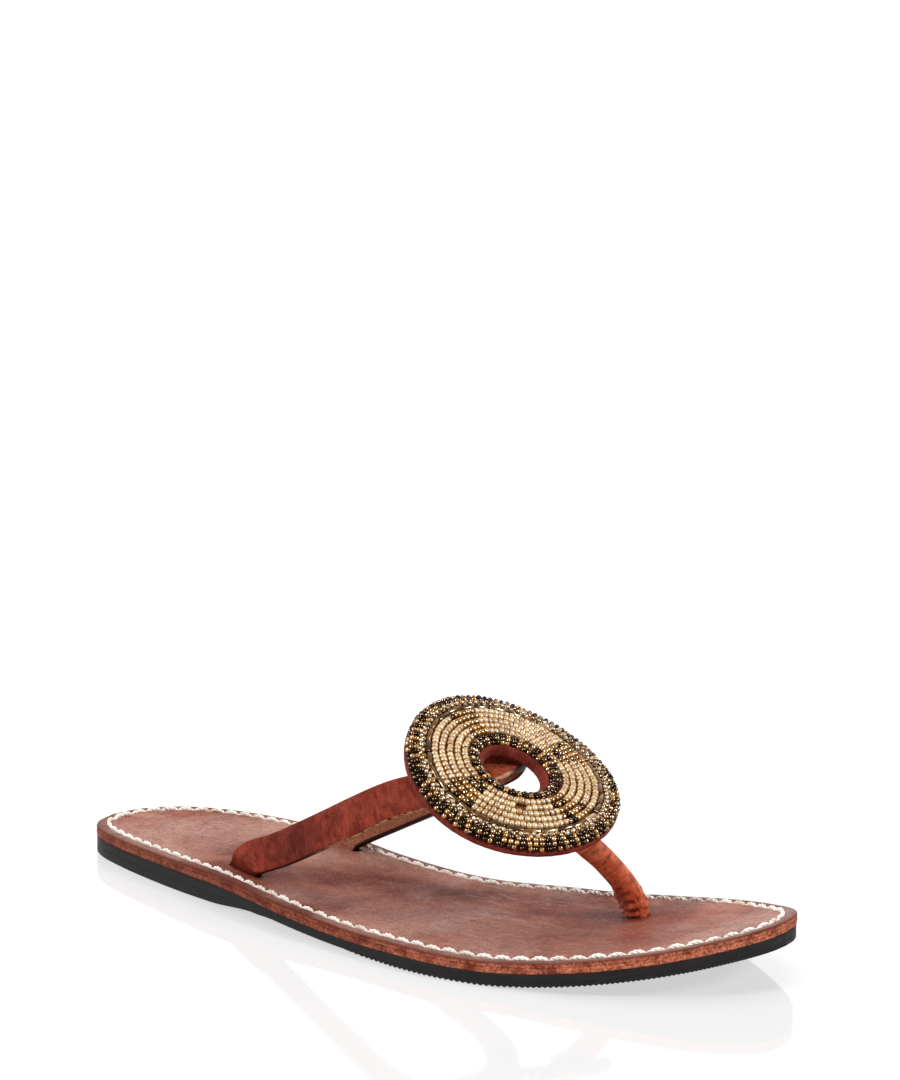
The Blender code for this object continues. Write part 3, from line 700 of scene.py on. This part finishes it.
def half_layer(name, start, end, bottom, ribs=0.0, steps=OUTLINE_STEPS):
    """A pad under part of the outsole: a ladder of stations, with ribs across its underside."""
    # Share of the width, inset and drop below the top; None stands for the underside
    profile = ((0.0, 0.16, 0.0), (0.0, 0.1, -0.1), (0.0, 0.1, None), (0.0, 0.35, None),
               (0.25, 0.0, None), (0.5, 0.0, None), (0.75, 0.0, None), (1.0, -0.35, None),
               (1.0, -0.1, None), (1.0, -0.1, -0.1), (1.0, -0.16, 0.0))
    sections = []
    for i, (a, b) in enumerate(zip(*sole_edges(steps))):
        if not start <= (a[0] + b[0]) / 2 <= end:
            continue
        across = (b - a) / max(np.linalg.norm(b - a), 1e-6)
        section = []
        for share, inset, rise in profile:
            p = a + (b - a) * share + across * inset
            low = float(bottom(p[0]))
            high = float(lower_layer_top(p[0]))
            if rise is None:
                z = low + (0.12 if abs(inset) == 0.1 else 0.0)
                if ribs and i % 2:
                    z += min(ribs, (high - low) * 0.6)
            else:
                z = max(high + rise, low + 0.15)
            section.append((p[0], p[1], z))
        sections.append(section)
    return mesh_object(name, *loft(sections), ("rubber",))


def resample(loop, count):
    """Points spaced evenly round a closed loop."""
    closed = np.vstack([loop, loop[:1]])
    along = distances(closed)
    wanted = np.linspace(0.0, along[-1], count, endpoint=False)
    return np.column_stack([np.interp(wanted, along, closed[:, k]) for k in range(2)])


def make_stitches():
    """Plump three-ply stitches with pointed ends that dive into their holes."""
    loop = resample(sole_loop(STITCH_INSET), STITCH_COUNT * STITCH_POINTS)
    height = footbed_height(loop[:, 0])
    t = np.linspace(0.0, 1.0, STITCH_POINTS + 1)
    arch = np.sin(pi * t) ** 0.62
    round_ply = np.linspace(0, 2 * pi, PLY_SIDES, endpoint=False)
    verts, faces = [], []
    for stitch in range(STITCH_COUNT):
        lean = rng.normal(0.0, 0.08)
        plump = rng.uniform(0.92, 1.1)
        rise = rng.uniform(0.05, 0.20)
        start = rng.uniform(0.0, 2 * pi)
        ids = [(stitch * STITCH_POINTS + k) % len(loop) for k in range(STITCH_POINTS + 1)]
        lift = (STITCH_DIVE + rise) * arch ** 0.8
        centre = np.column_stack([loop[ids], height[ids] - STITCH_DIVE + lift])
        side, up = path_frames(centre)
        centre = centre + side * (lean * np.sin(pi * t))[:, None]
        for ply in (0.0, 2 * pi / 3, 4 * pi / 3):
            sections = []
            for k in range(STITCH_POINTS + 1):
                turn = start + ply + 2 * pi * STITCH_TURNS * t[k]
                spread = PLY_SPREAD * (0.35 + 0.65 * arch[k]) * plump
                middle = centre[k] + spread * (side[k] * cos(turn) + up[k] * sin(turn))
                radius = PLY_RADIUS * (0.38 + 0.62 * arch[k]) * plump
                sections.append([middle + radius * (side[k] * cos(a) + up[k] * sin(a))
                                 for a in round_ply])
            new_verts, new_faces = loft(sections)
            faces += [tuple(i + len(verts) for i in face) for face in new_faces]
            verts += new_verts
    return mesh_object("perimeter_stitches", verts, faces, ("thread",))


# ---- instep strap

def strap_path():
    """Rear and front edge of the strap's grain side, carried down into the slots."""
    rear = smooth_path(STRAP_REAR, 16)
    front = smooth_path(STRAP_FRONT, 16)
    sink = np.array([0.0, 0.0, -1.25])
    rear = np.vstack([rear[:1] + sink, rear, rear[-1:] + sink])
    front = np.vstack([front[:1] + sink, front, front[-1:] + sink])
    return rear, front


def make_strap():
    """The band: grain side, two cut edges and flesh side; the front edge and the flesh side have
    finishes of their own, the rear edge shares the grain side's.
    """
    rear, front = strap_path()
    middle = (rear + front) / 2
    along = distances(middle)
    total = along[-1]
    grain_points, edge_points, flesh_points = 18, 5, 12
    sections = []
    attributes = {"along": [], "across": [], "worn": [], "handled": []}
    for i, (a, b, s) in enumerate(zip(rear, front, along)):
        run = middle[min(i + 1, len(middle) - 1)] - middle[max(i - 1, 0)]
        grain = unit(np.cross(b - a, run))
        if i < 3 or i > len(rear) - 4:      # the ends stand upright in their slots
            grain[2] = 0.0
            grain = unit(grain)
        width = np.linalg.norm(b - a)
        across = (b - a) / width
        free = min(s, total - s)
        extra = 0.3 * smoothstep((s - total + 62.0) / 14.0) * smoothstep((total - s - 2.0) / 5.0)
        core = smoothstep((s - 18.0) / 45.0) * smoothstep((0.57 * total - s) / 6.0)
        # Painted shade where the strap goes into its slots, and a darker band in the middle of the
        # outer leg.
        handled = 0.55 * exp(-((s - 31.0) / 12.0) ** 2) + 0.75 * exp(-(free / 3.5) ** 2)
        creased = smoothstep((free - 8.0) / 12.0) * smoothstep((62.0 - free) / 20.0)
        tuck = 0.9 * exp(-((free - 5.0) / 2.4) ** 2)
        section = []    # a point, its distance across the strap and how worn its ink is
        for k in range(grain_points):
            v = width * (k + 0.5) / grain_points
            edge = min(v, width - v)
            crown = 0.18 * (1 - (2 * v / width - 1) ** 2) - 0.30 * exp(-(edge / 0.45) ** 2)
            fold = wobble((s, v * 0.16 + 0.5 * wobble((s, v, 0), 4.0, 6.0), 0.0), 1.9, 4.0)
            fold = -abs(fold) * 0.55 + 0.12
            lift = crown + creased * fold + tuck + 0.10 * wobble((s, v, 0.0), 7.0, 5.0)
            section.append((a + across * v * (1.0 + extra / width) + grain * lift, v, 0.0))
        for k in range(edge_points):
            t = (k + 0.5) / edge_points
            bulge = 0.22 * sin(pi * t)
            point = b + across * (bulge + extra * (1.0 - t)) - grain * STRAP_THICKNESS * t
            worn = core * min(1.7 * (1.0 - abs(2 * t - 0.9)), 1.0)
            section.append((point, width + STRAP_THICKNESS * t, worn))
        for k in range(flesh_points):
            v = width * (1 - (k + 0.5) / flesh_points)
            rough = 0.08 * wobble((s, v, 20.0), 1.4, 8.0)
            section.append((a + across * v - grain * (STRAP_THICKNESS + rough - 0.05), v, 0.0))
        for k in range(edge_points):
            t = 1 - (k + 0.5) / edge_points
            bulge = 0.22 * sin(pi * t)
            section.append((a - across * bulge - grain * STRAP_THICKNESS * t,
                            -STRAP_THICKNESS * t, 0.0))
        points, places, wear = zip(*section)
        sections.append(points)
        attributes["across"] += places
        attributes["worn"] += wear
        attributes["along"] += [s] * len(points)
        attributes["handled"] += [handled] * len(points)
    # Slots: 0 grain side and rear edge, 1 front edge, 2 flesh side, 3 grain side under the
    # medallion, a lighter copy with painted light, which starts nearer to the toe on the outer side
    # than on the inner one
    finish = [0] * grain_points + [1] * edge_points + [2] * flesh_points + [0] * edge_points
    slots = []
    for place in middle[:-1]:
        covered = place[0] > (24.0 if place[1] < 0.0 else 8.0)
        slots += [3 if covered and slot == 0 else slot for slot in finish]
    slots += [0, 0]
    return mesh_object("instep_strap_leather", *loft(sections),
                       ("strap", "strap_edge", "strap_flesh", "strap_covered"), slots, attributes)


# ---- toe post

# Centre, half width across the roll and half thickness: round below, flat above
POST_STATIONS = [(74.5, 19.6, 5.4, 3.0, 3.0), (74.5, 19.6, 8.6, 3.1, 3.1),
                 (74.1, 19.0, 12.0, 3.7, 3.65), (73.0, 16.8, 17.0, 3.7, 3.75),
                 (70.9, 12.8, 22.8, 3.5, 3.8), (68.2, 8.6, 28.2, 2.9, 3.85),
                 (64.8, 5.6, 32.4, 2.1, 3.95), (60.6, 4.6, 35.6, 1.4, 4.0),
                 (55.6, 4.0, 38.6, 1.1, 4.0)]
ROLL_RADIUS = 3.6
GATHER_START = 7.4           # distance up the roll where the gathers are counted from
GATHER_PITCH = 3.9
GATHER_DEPTH = 3.2
HOLLOW_SIDE = np.array([-0.75, -0.55, -0.1])


def make_toe_post():
    """A leather strip rolled round a cord, gathered on its hollow side, flat at the top."""
    stations = smooth_path(POST_STATIONS, 16)
    path = stations[:, :3]
    tangent = unit_rows(np.gradient(path, axis=0))
    sections, attributes = [], {"along": [], "across": [], "handled": []}
    sides = 52
    for station, t, s in zip(stations, tangent, distances(path)):
        centre, half_width, half_depth = station[:3], station[3], station[4]
        hollow = unit(HOLLOW_SIDE - t * (HOLLOW_SIDE @ t))
        wide = np.cross(t, hollow)
        gathered = smoothstep((s - 2.5) / 2.0) * smoothstep((18.0 - s) / 4.0)
        section = []
        for k in range(sides):
            angle = 2 * pi * k / sides
            facing = cos(angle)
            drift = 0.6 * wobble((s, 3.0 * angle, 0.0), 7.0, 9.0)
            phase = (s - GATHER_START + 0.5 * sin(angle) + drift) / GATHER_PITCH
            bumps = abs(sin(pi * phase)) - 0.62
            folds = GATHER_DEPTH * gathered * max(facing + 0.1, 0.0) ** 0.9 * bumps
            around = (s, 9.0 * cos(angle), 9.0 * sin(angle))
            crinkle = 0.8 * wobble(around, 2.6, 11.0) + 0.2 * wobble(around, 1.1, 14.0)
            crinkle = crinkle * smoothstep((19.0 - s) / 12.0)
            seam = -0.45 * exp(-((angle - 1.35 * pi) / 0.10) ** 2)
            ridge = 0.06 * wobble((0.25 * s, 11 * cos(angle), 11 * sin(angle)), 1.2, 12.0)
            flat = half_width / ROLL_RADIUS
            out = folds + (crinkle + seam) * min(flat, 1.0) + ridge
            section.append(centre + hollow * cos(angle) * (half_depth + out)
                           + wide * sin(angle) * (half_width + out))
            attributes["across"].append(angle * ROLL_RADIUS)
            # Painted shade in the troughs of the gathers and round the foot of the post, where it
            # goes into the sole.
            attributes["handled"].append(1.6 * gathered * max(facing + 0.2, 0.0) * max(-bumps, 0.0)
                                         + 0.5 * exp(-((s - 2.6) / 1.0) ** 2))
        attributes["along"] += [s] * sides
        sections.append(section)
    return mesh_object("toe_post_leather", *loft(sections), ("post",),
                       attributes=attributes)


# ---- medallion

MEDALLION_TURN = np.array(Matrix.Rotation(radians(MEDALLION_ROLL), 3, "X")
                          @ Matrix.Rotation(radians(MEDALLION_PITCH), 3, "Y")
                          @ Matrix.Rotation(radians(MEDALLION_YAW), 3, "Z"))


def oval_point(angle, inset, n):
    """A point at an angle round the medallion, some way in from the beads' outer edge."""
    u = (HALF_LENGTH - inset) * cos(angle)
    v = (HALF_WIDTH - inset) * sin(angle)
    drape = -v * v / (2.0 * DRAPE_RADIUS)
    return np.array(MEDALLION_CENTRE) + MEDALLION_TURN @ np.array((u, v, n + drape))


def oval_direction(angle, inset, n, reach):
    """Direction round the medallion, between two points on either side of an angle."""
    return unit(oval_point(angle + reach, inset, n) - oval_point(angle - reach, inset, n))


def oval_angles(inset, pitch):
    """Angles that space beads evenly round an oval, close to the wanted pitch."""
    fine = np.linspace(0.0, 2 * pi, 721)
    along = distances(np.array([oval_point(a, inset, 0.0) for a in fine]))
    count = round(along[-1] / pitch)
    return np.interp(np.linspace(0.0, along[-1], count, endpoint=False), along, fine)


class Beads:
    """Collects bead meshes into one object."""

    def __init__(self, name, *glasses):
        self.name = name
        self.glasses = glasses
        self.verts, self.faces, self.slots, self.tints = [], [], [], []

    def add(self, centre, direction, outline, sides, slot):
        """Glass turned round a direction. outline lists (distance out, distance along)."""
        axis = unit(direction)
        side = unit(np.cross(axis, (0.31, 0.47, 0.83)))
        up = np.cross(axis, side)
        sections = []
        for k in range(sides):
            outward = side * cos(2 * pi * k / sides) + up * sin(2 * pi * k / sides)
            sections.append([centre + outward * away + axis * shift for away, shift in outline])
        verts, faces = loft(sections, closed_path=True)
        self.faces += [tuple(i + len(self.verts) for i in face) for face in faces]
        self.verts += verts
        self.slots += [slot] * len(faces)
        self.tints += [rng.uniform()] * len(verts)

    def add_round(self, centre, direction, radius, length, slot, sides=12):
        """A doughnut-shaped bead threaded along a direction."""
        middle = radius * (1 + BEAD_HOLE) / 2
        wall = radius * (1 - BEAD_HOLE) / 2
        turns = [2 * pi * j / 9 for j in range(9)]
        outline = [(middle + wall * cos(a), length / 2 * sin(a)) for a in turns]
        self.add(centre, direction, outline, sides, slot)

    def add_bugle(self, centre, direction, radius, length, slot):
        """A glass tube with a bore."""
        half = length / 2
        outline = ((radius * 0.9, -half), (radius, -half + 0.15), (radius, half - 0.15),
                   (radius * 0.9, half), (radius * 0.4, half), (radius * 0.4, -half))
        self.add(centre, direction, outline, 10, slot)

    def finish(self):
        return mesh_object(self.name, self.verts, self.faces, self.glasses, self.slots,
                           attributes={"tint": self.tints})


def in_fan(angle, row):
    """Whether a bead of a cream row belongs to one of the four dark fans."""
    degrees = (angle * 180.0 / pi) % 360.0
    half = FAN_HALF_WIDTH + FAN_TAPER * (CREAM_ROWS - row)
    return any(abs((degrees - centre + 180.0) % 360.0 - 180.0) < half for centre in FAN_CENTRES)


def make_cream_row(row):
    inset = CREAM_FIRST + CREAM_PITCH * row
    beads = Beads(f"cream_beads_{row + 1}", "cream", "dark_bead", "gold_bead")
    radius, length = CREAM_SIZE
    for angle in oval_angles(inset, length):
        if row == MISSING_BEAD[0] and abs(angle - MISSING_BEAD[1]) < 0.06:
            continue
        direction = oval_direction(angle, inset, CREAM_HEIGHT, 0.02) + rng.normal(0.0, 0.10, 3)
        centre = oval_point(angle, inset + rng.normal(0.0, 0.07),
                            CREAM_HEIGHT + rng.normal(0.0, 0.07))
        slot = 0
        if in_fan(angle, row):
            slot = 1 if rng.uniform() < 0.20 else 2
        beads.add_round(centre, direction, radius * rng.uniform(0.93, 1.05),
                        length * rng.uniform(0.86, 1.0), slot)
    return beads.finish()


def make_whipped_edge(name, stations, pitch, dark_share=0.06, swap_share=0.16):
    """Short stitches of beads that wrap over an edge, dark and gold by turns."""
    beads = Beads(name, "dark_bead", "gold_bead")
    radius, length = EDGE_SIZE
    for i, angle in enumerate(oval_angles(stations[1][0], pitch)):
        slot = i % 2
        if rng.uniform() < dark_share:
            slot = 0
        slant = rng.normal(0.0, 0.012)
        points = [oval_point(angle + slant * (k - 1), inset, n)
                  for k, (inset, n) in enumerate(stations)]
        for k, centre in enumerate(points):
            direction = unit(points[min(k + 1, 2)] - points[max(k - 1, 0)])
            direction = direction + rng.normal(0.0, 0.12, 3)
            shade = slot if rng.uniform() > swap_share else 1 - slot
            beads.add_round(centre + rng.normal(0.0, 0.05, 3), direction,
                            radius * rng.uniform(0.9, 1.05), length * rng.uniform(0.88, 1.0), shade)
    return beads.finish()


def make_rope_ring():
    """Two strands of small clear and gold beads twisted round each other."""
    inset, height, twist_radius, turns = 4.0, 0.15, 0.62, 38
    beads = Beads("twisted_rope_beads", "clear_bead", "gold_bead")
    radius, length = ROPE_SIZE

    def place(angle, phase):
        turn = turns * angle + phase
        return oval_point(angle, inset + twist_radius * cos(turn),
                          height + twist_radius * sin(turn))

    for phase, gold_share in ((0.0, 0.18), (pi, 0.55)):
        for angle in oval_angles(inset, length * 0.92):
            centre = place(angle, phase)
            direction = place(angle + 0.01, phase) - place(angle - 0.01, phase)
            slot = 1 if rng.uniform() < gold_share else 0
            beads.add_round(centre, direction, radius * rng.uniform(0.92, 1.08), length, slot, 9)
    return beads.finish()


def make_bugle_ring():
    """Long cut-glass tubes laid end to end."""
    beads = Beads("bugle_beads", "bugle", "clear_bead")
    for angle in oval_angles(BUGLE_INSET, 5.4):
        centre = oval_point(angle, BUGLE_INSET + rng.normal(0.0, 0.1), rng.uniform(-0.25, 0.1))
        direction = oval_direction(angle, BUGLE_INSET, 0.0, 0.05) + rng.normal(0.0, 0.05, 3)
        slot = 1 if rng.uniform() < 0.10 else 0
        beads.add_bugle(centre, direction, BUGLE_RADIUS, rng.uniform(4.6, 5.2), slot)
    return beads.finish()


def make_backing():
    """Leather ring under the beads, with rounded edges and a lip round the opening."""
    profile = [(24.9, -4.0), (24.6, -3.3), (24.1, -2.2), (23.6, -1.4), (23.1, -1.1),
               (22.6, -1.2), (22.3, -2.0), (16.0, -2.1), (8.0, -2.1), (1.0, -2.1),
               (0.2, -2.05), (-0.3, -2.1), (-0.58, -2.4), (-0.62, -3.0), (-0.55, -3.6),
               (-0.2, -3.92), (1.0, -3.95), (8.0, -3.95), (16.0, -3.95), (23.2, -4.2),
               (24.4, -4.35)]
    steps, radius = 260, 34.0
    sections, attributes = [], {"along": [], "across": []}
    for i in range(steps):
        angle = 2 * pi * i / steps
        section = []
        for inset, n in profile:
            rough = 0.10 * wobble((radius * cos(angle), radius * sin(angle), n), 1.6, 13.0)
            section.append(oval_point(angle, inset + rough, n))
        attributes["across"] += range(len(profile))
        attributes["along"] += [radius * angle] * len(profile)
        sections.append(section)
    return mesh_object("medallion_backing_leather", *loft(sections, closed_path=True),
                       ("backing",), attributes=attributes)


# ---- assembly

MATERIALS = {
    "footbed": footbed_leather(),
    "raw_edge": raw_edge(),
    "strap": strap_leather(),
    # A lighter copy of the strap leather for its part under the medallion: painted light where the
    # medallion shades it, and no gloss.
    "strap_covered": strap_leather("strap_leather_lit_copy", (0.230, 0.040, 0.018),
                                   (0.420, 0.095, 0.045), gloss=0.0),
    "strap_flesh": strap_flesh(),
    "strap_edge": strap_edge(),
    # The post's leather is lighter than the strap's; part of that is painted light, standing for
    # the strong light of the right lamp on it.
    "post": strap_leather("post_leather", (0.50, 0.080, 0.028), (0.80, 0.190, 0.080),
                          0.75, 0.22),
    "backing": strap_leather("backing_leather", (0.125, 0.017, 0.011), (0.240, 0.042, 0.026),
                             0.4),
    "rubber": rubber(),
    "thread": waxed_thread(),
    "canvas": canvas(),
    "cream": bead_glass("cream_bead_glass", (0.44, 0.24, 0.090), (0.74, 0.50, 0.235),
                        (1.0, 0.98, 0.94), 0.050, 0.22, 0.6, coat_weight=1.0),
    "dark_bead": bead_glass("dark_bead_glass", (0.003, 0.001, 0.001), (0.018, 0.005, 0.002),
                            (0.95, 0.74, 0.46), 0.022, 0.10, 0.22),
    "gold_bead": bead_glass("gold_bead_glass", (0.12, 0.040, 0.004), (0.56, 0.25, 0.030),
                            (1.0, 0.88, 0.60), 0.034, 0.20, 0.6, 0.4, 0.8),
    "clear_bead": bead_glass("clear_bead_glass", (0.30, 0.14, 0.04), (0.80, 0.60, 0.36),
                             (1.0, 0.96, 0.86), 0.045, 0.14, 0.6, 0.3, 1.0),
    "bugle": bead_glass("bugle_glass", (0.018, 0.007, 0.002), (0.24, 0.105, 0.025),
                        (0.95, 0.72, 0.40), 0.035, 0.16, 0.5, 0.4, 1.0),
}


def settle(piece, body, slot, *nodes):
    """Join a finished piece to its body and hide the CAD nodes that it stands for; slot is not
    used.
    """
    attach(piece, body)
    if nodes:
        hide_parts(*nodes)


settle(make_footbed(), "root", "footbed_leather", "footbed")
settle(make_midsole(), "root", "raw_leather", "midsole")
settle(make_outsole(), "root", "rubber", "outsole")
settle(half_layer("heel_lift_rubber", -140.0, LIFT_END, heel_lift_bottom),
       "root", "rubber", "heel_lift")
settle(half_layer("forefoot_tread_rubber", TREAD_START, 140.0, tread_bottom, TREAD_RIBS,
                  TREAD_STEPS),
       "root", "rubber", "forefoot_tread")
settle(make_stitches(), "root", "thread", "footbed_stitching")

strap = make_strap()
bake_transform(strap)
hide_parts("instep_strap")

post = make_toe_post()
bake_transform(post)
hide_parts("toe_post", "toe_post_core", "toe_post_tab")

settle(make_backing(), "upper", "strap_leather", "medallion_backing")
settle(make_whipped_edge("outer_edge_beads", OUTER_WHIPPING, 1.95),
       "upper", "dark_beads", "edge_beads_outer", "edge_beads_inner")
settle(make_whipped_edge("opening_edge_beads", OPENING_WHIPPING, 1.9),
       "upper", "dark_beads", "opening_beads_upper", "opening_beads_lower")
settle(make_rope_ring(), "upper", "clear_beads", "twisted_bead_rope")
settle(make_bugle_ring(), "upper", "gold_beads", "bugle_bead_ring")
for row in range(CREAM_ROWS):
    settle(make_cream_row(row), "upper", "cream_beads", f"cream_bead_row_{row + 1}")

for node, name in (("bead_base", "canvas"), ("underside_stitching", "thread"),
                   ("strap_tail_outer", "strap"), ("strap_tail_inner", "strap"),
                   ("toe_post_anchor", "post")):
    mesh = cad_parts[node].data
    mesh.materials.clear()
    mesh.materials.append(MATERIALS[name])


# ---- floor, light and camera

def make_floor():
    mesh = bpy.data.meshes.new("floor")
    size = 80.0
    mesh.from_pydata([(-size, -size, 0), (size, -size, 0), (size, size, 0), (-size, size, 0)], [],
                     [(0, 1, 2, 3)])
    floor = new_object("floor", mesh, floor_material())


def sun(name, direction, angle, strength, glints=True):
    """A far-off softbox: light travels along direction, spread over an angle in degrees."""
    data = bpy.data.lights.new(name, "SUN")
    data.angle = radians(angle)
    data.energy = strength
    lamp = new_object(name, data)
    lamp.rotation_euler = Vector(direction).to_track_quat("-Z", "Y").to_euler()
    lamp.visible_glossy = glints


def make_world():
    """A white backdrop, brightest behind the object in the light that it throws."""
    world = bpy.data.worlds.new("studio")
    world.use_nodes = True
    tree = world.node_tree

    def node(kind, **values):
        made = tree.nodes.new("ShaderNode" + kind)
        for socket, value in values.items():
            made.inputs[socket.replace("_", " ")].default_value = value
        return made

    background = tree.nodes["Background"]
    background.inputs["Color"].default_value = (1.0, 1.0, 1.0, 1.0)
    towards = node("VectorMath")
    towards.operation = "DOT_PRODUCT"
    towards.inputs[1].default_value = (-0.577, 0.816, 0.0)
    ramp = node("MapRange", From_Min=0.25, From_Max=0.80, To_Min=0.22, To_Max=1.05)
    backdrop = node("Math")
    backdrop.operation = "MAXIMUM"
    for output, socket in ((node("TexCoord").outputs["Generated"], towards.inputs[0]),
                           (towards.outputs["Value"], ramp.inputs["Value"]),
                           (ramp.outputs[0], backdrop.inputs[0]),
                           (node("LightPath").outputs["Is Camera Ray"], backdrop.inputs[1]),
                           (backdrop.outputs[0], background.inputs["Strength"])):
        tree.links.new(output, socket)
    bpy.context.scene.world = world


def make_camera():
    back = Vector((0.5693, -0.80428, 0.17038))
    right = Vector((0.8145, 0.57994, 0.01605))
    up = Vector((-0.11172, 0.12964, 0.98525))
    data = bpy.data.cameras.new("camera")
    data.lens = 89.49
    data.sensor_width = 36.0
    data.sensor_fit = "AUTO"
    camera = new_object("camera", data)
    turn = Matrix((right, up, back)).transposed()
    camera.matrix_world = Matrix.Translation(Vector((485.5, -664.7, 263.1)) * MM) @ turn.to_4x4()
    data.clip_start = 0.01
    bpy.context.scene.camera = camera


make_floor()
make_world()
sun("left_lamp", (0.422, 0.716, -0.554), 14.0, 1.85)
sun("right_lamp", (-0.800, -0.154, -0.578), 14.0, 2.0)
sun("overhead", (0.14, -0.16, -0.97), 45.0, 1.4, glints=False)
make_camera()
bpy.context.scene.view_settings.view_transform = "Standard"
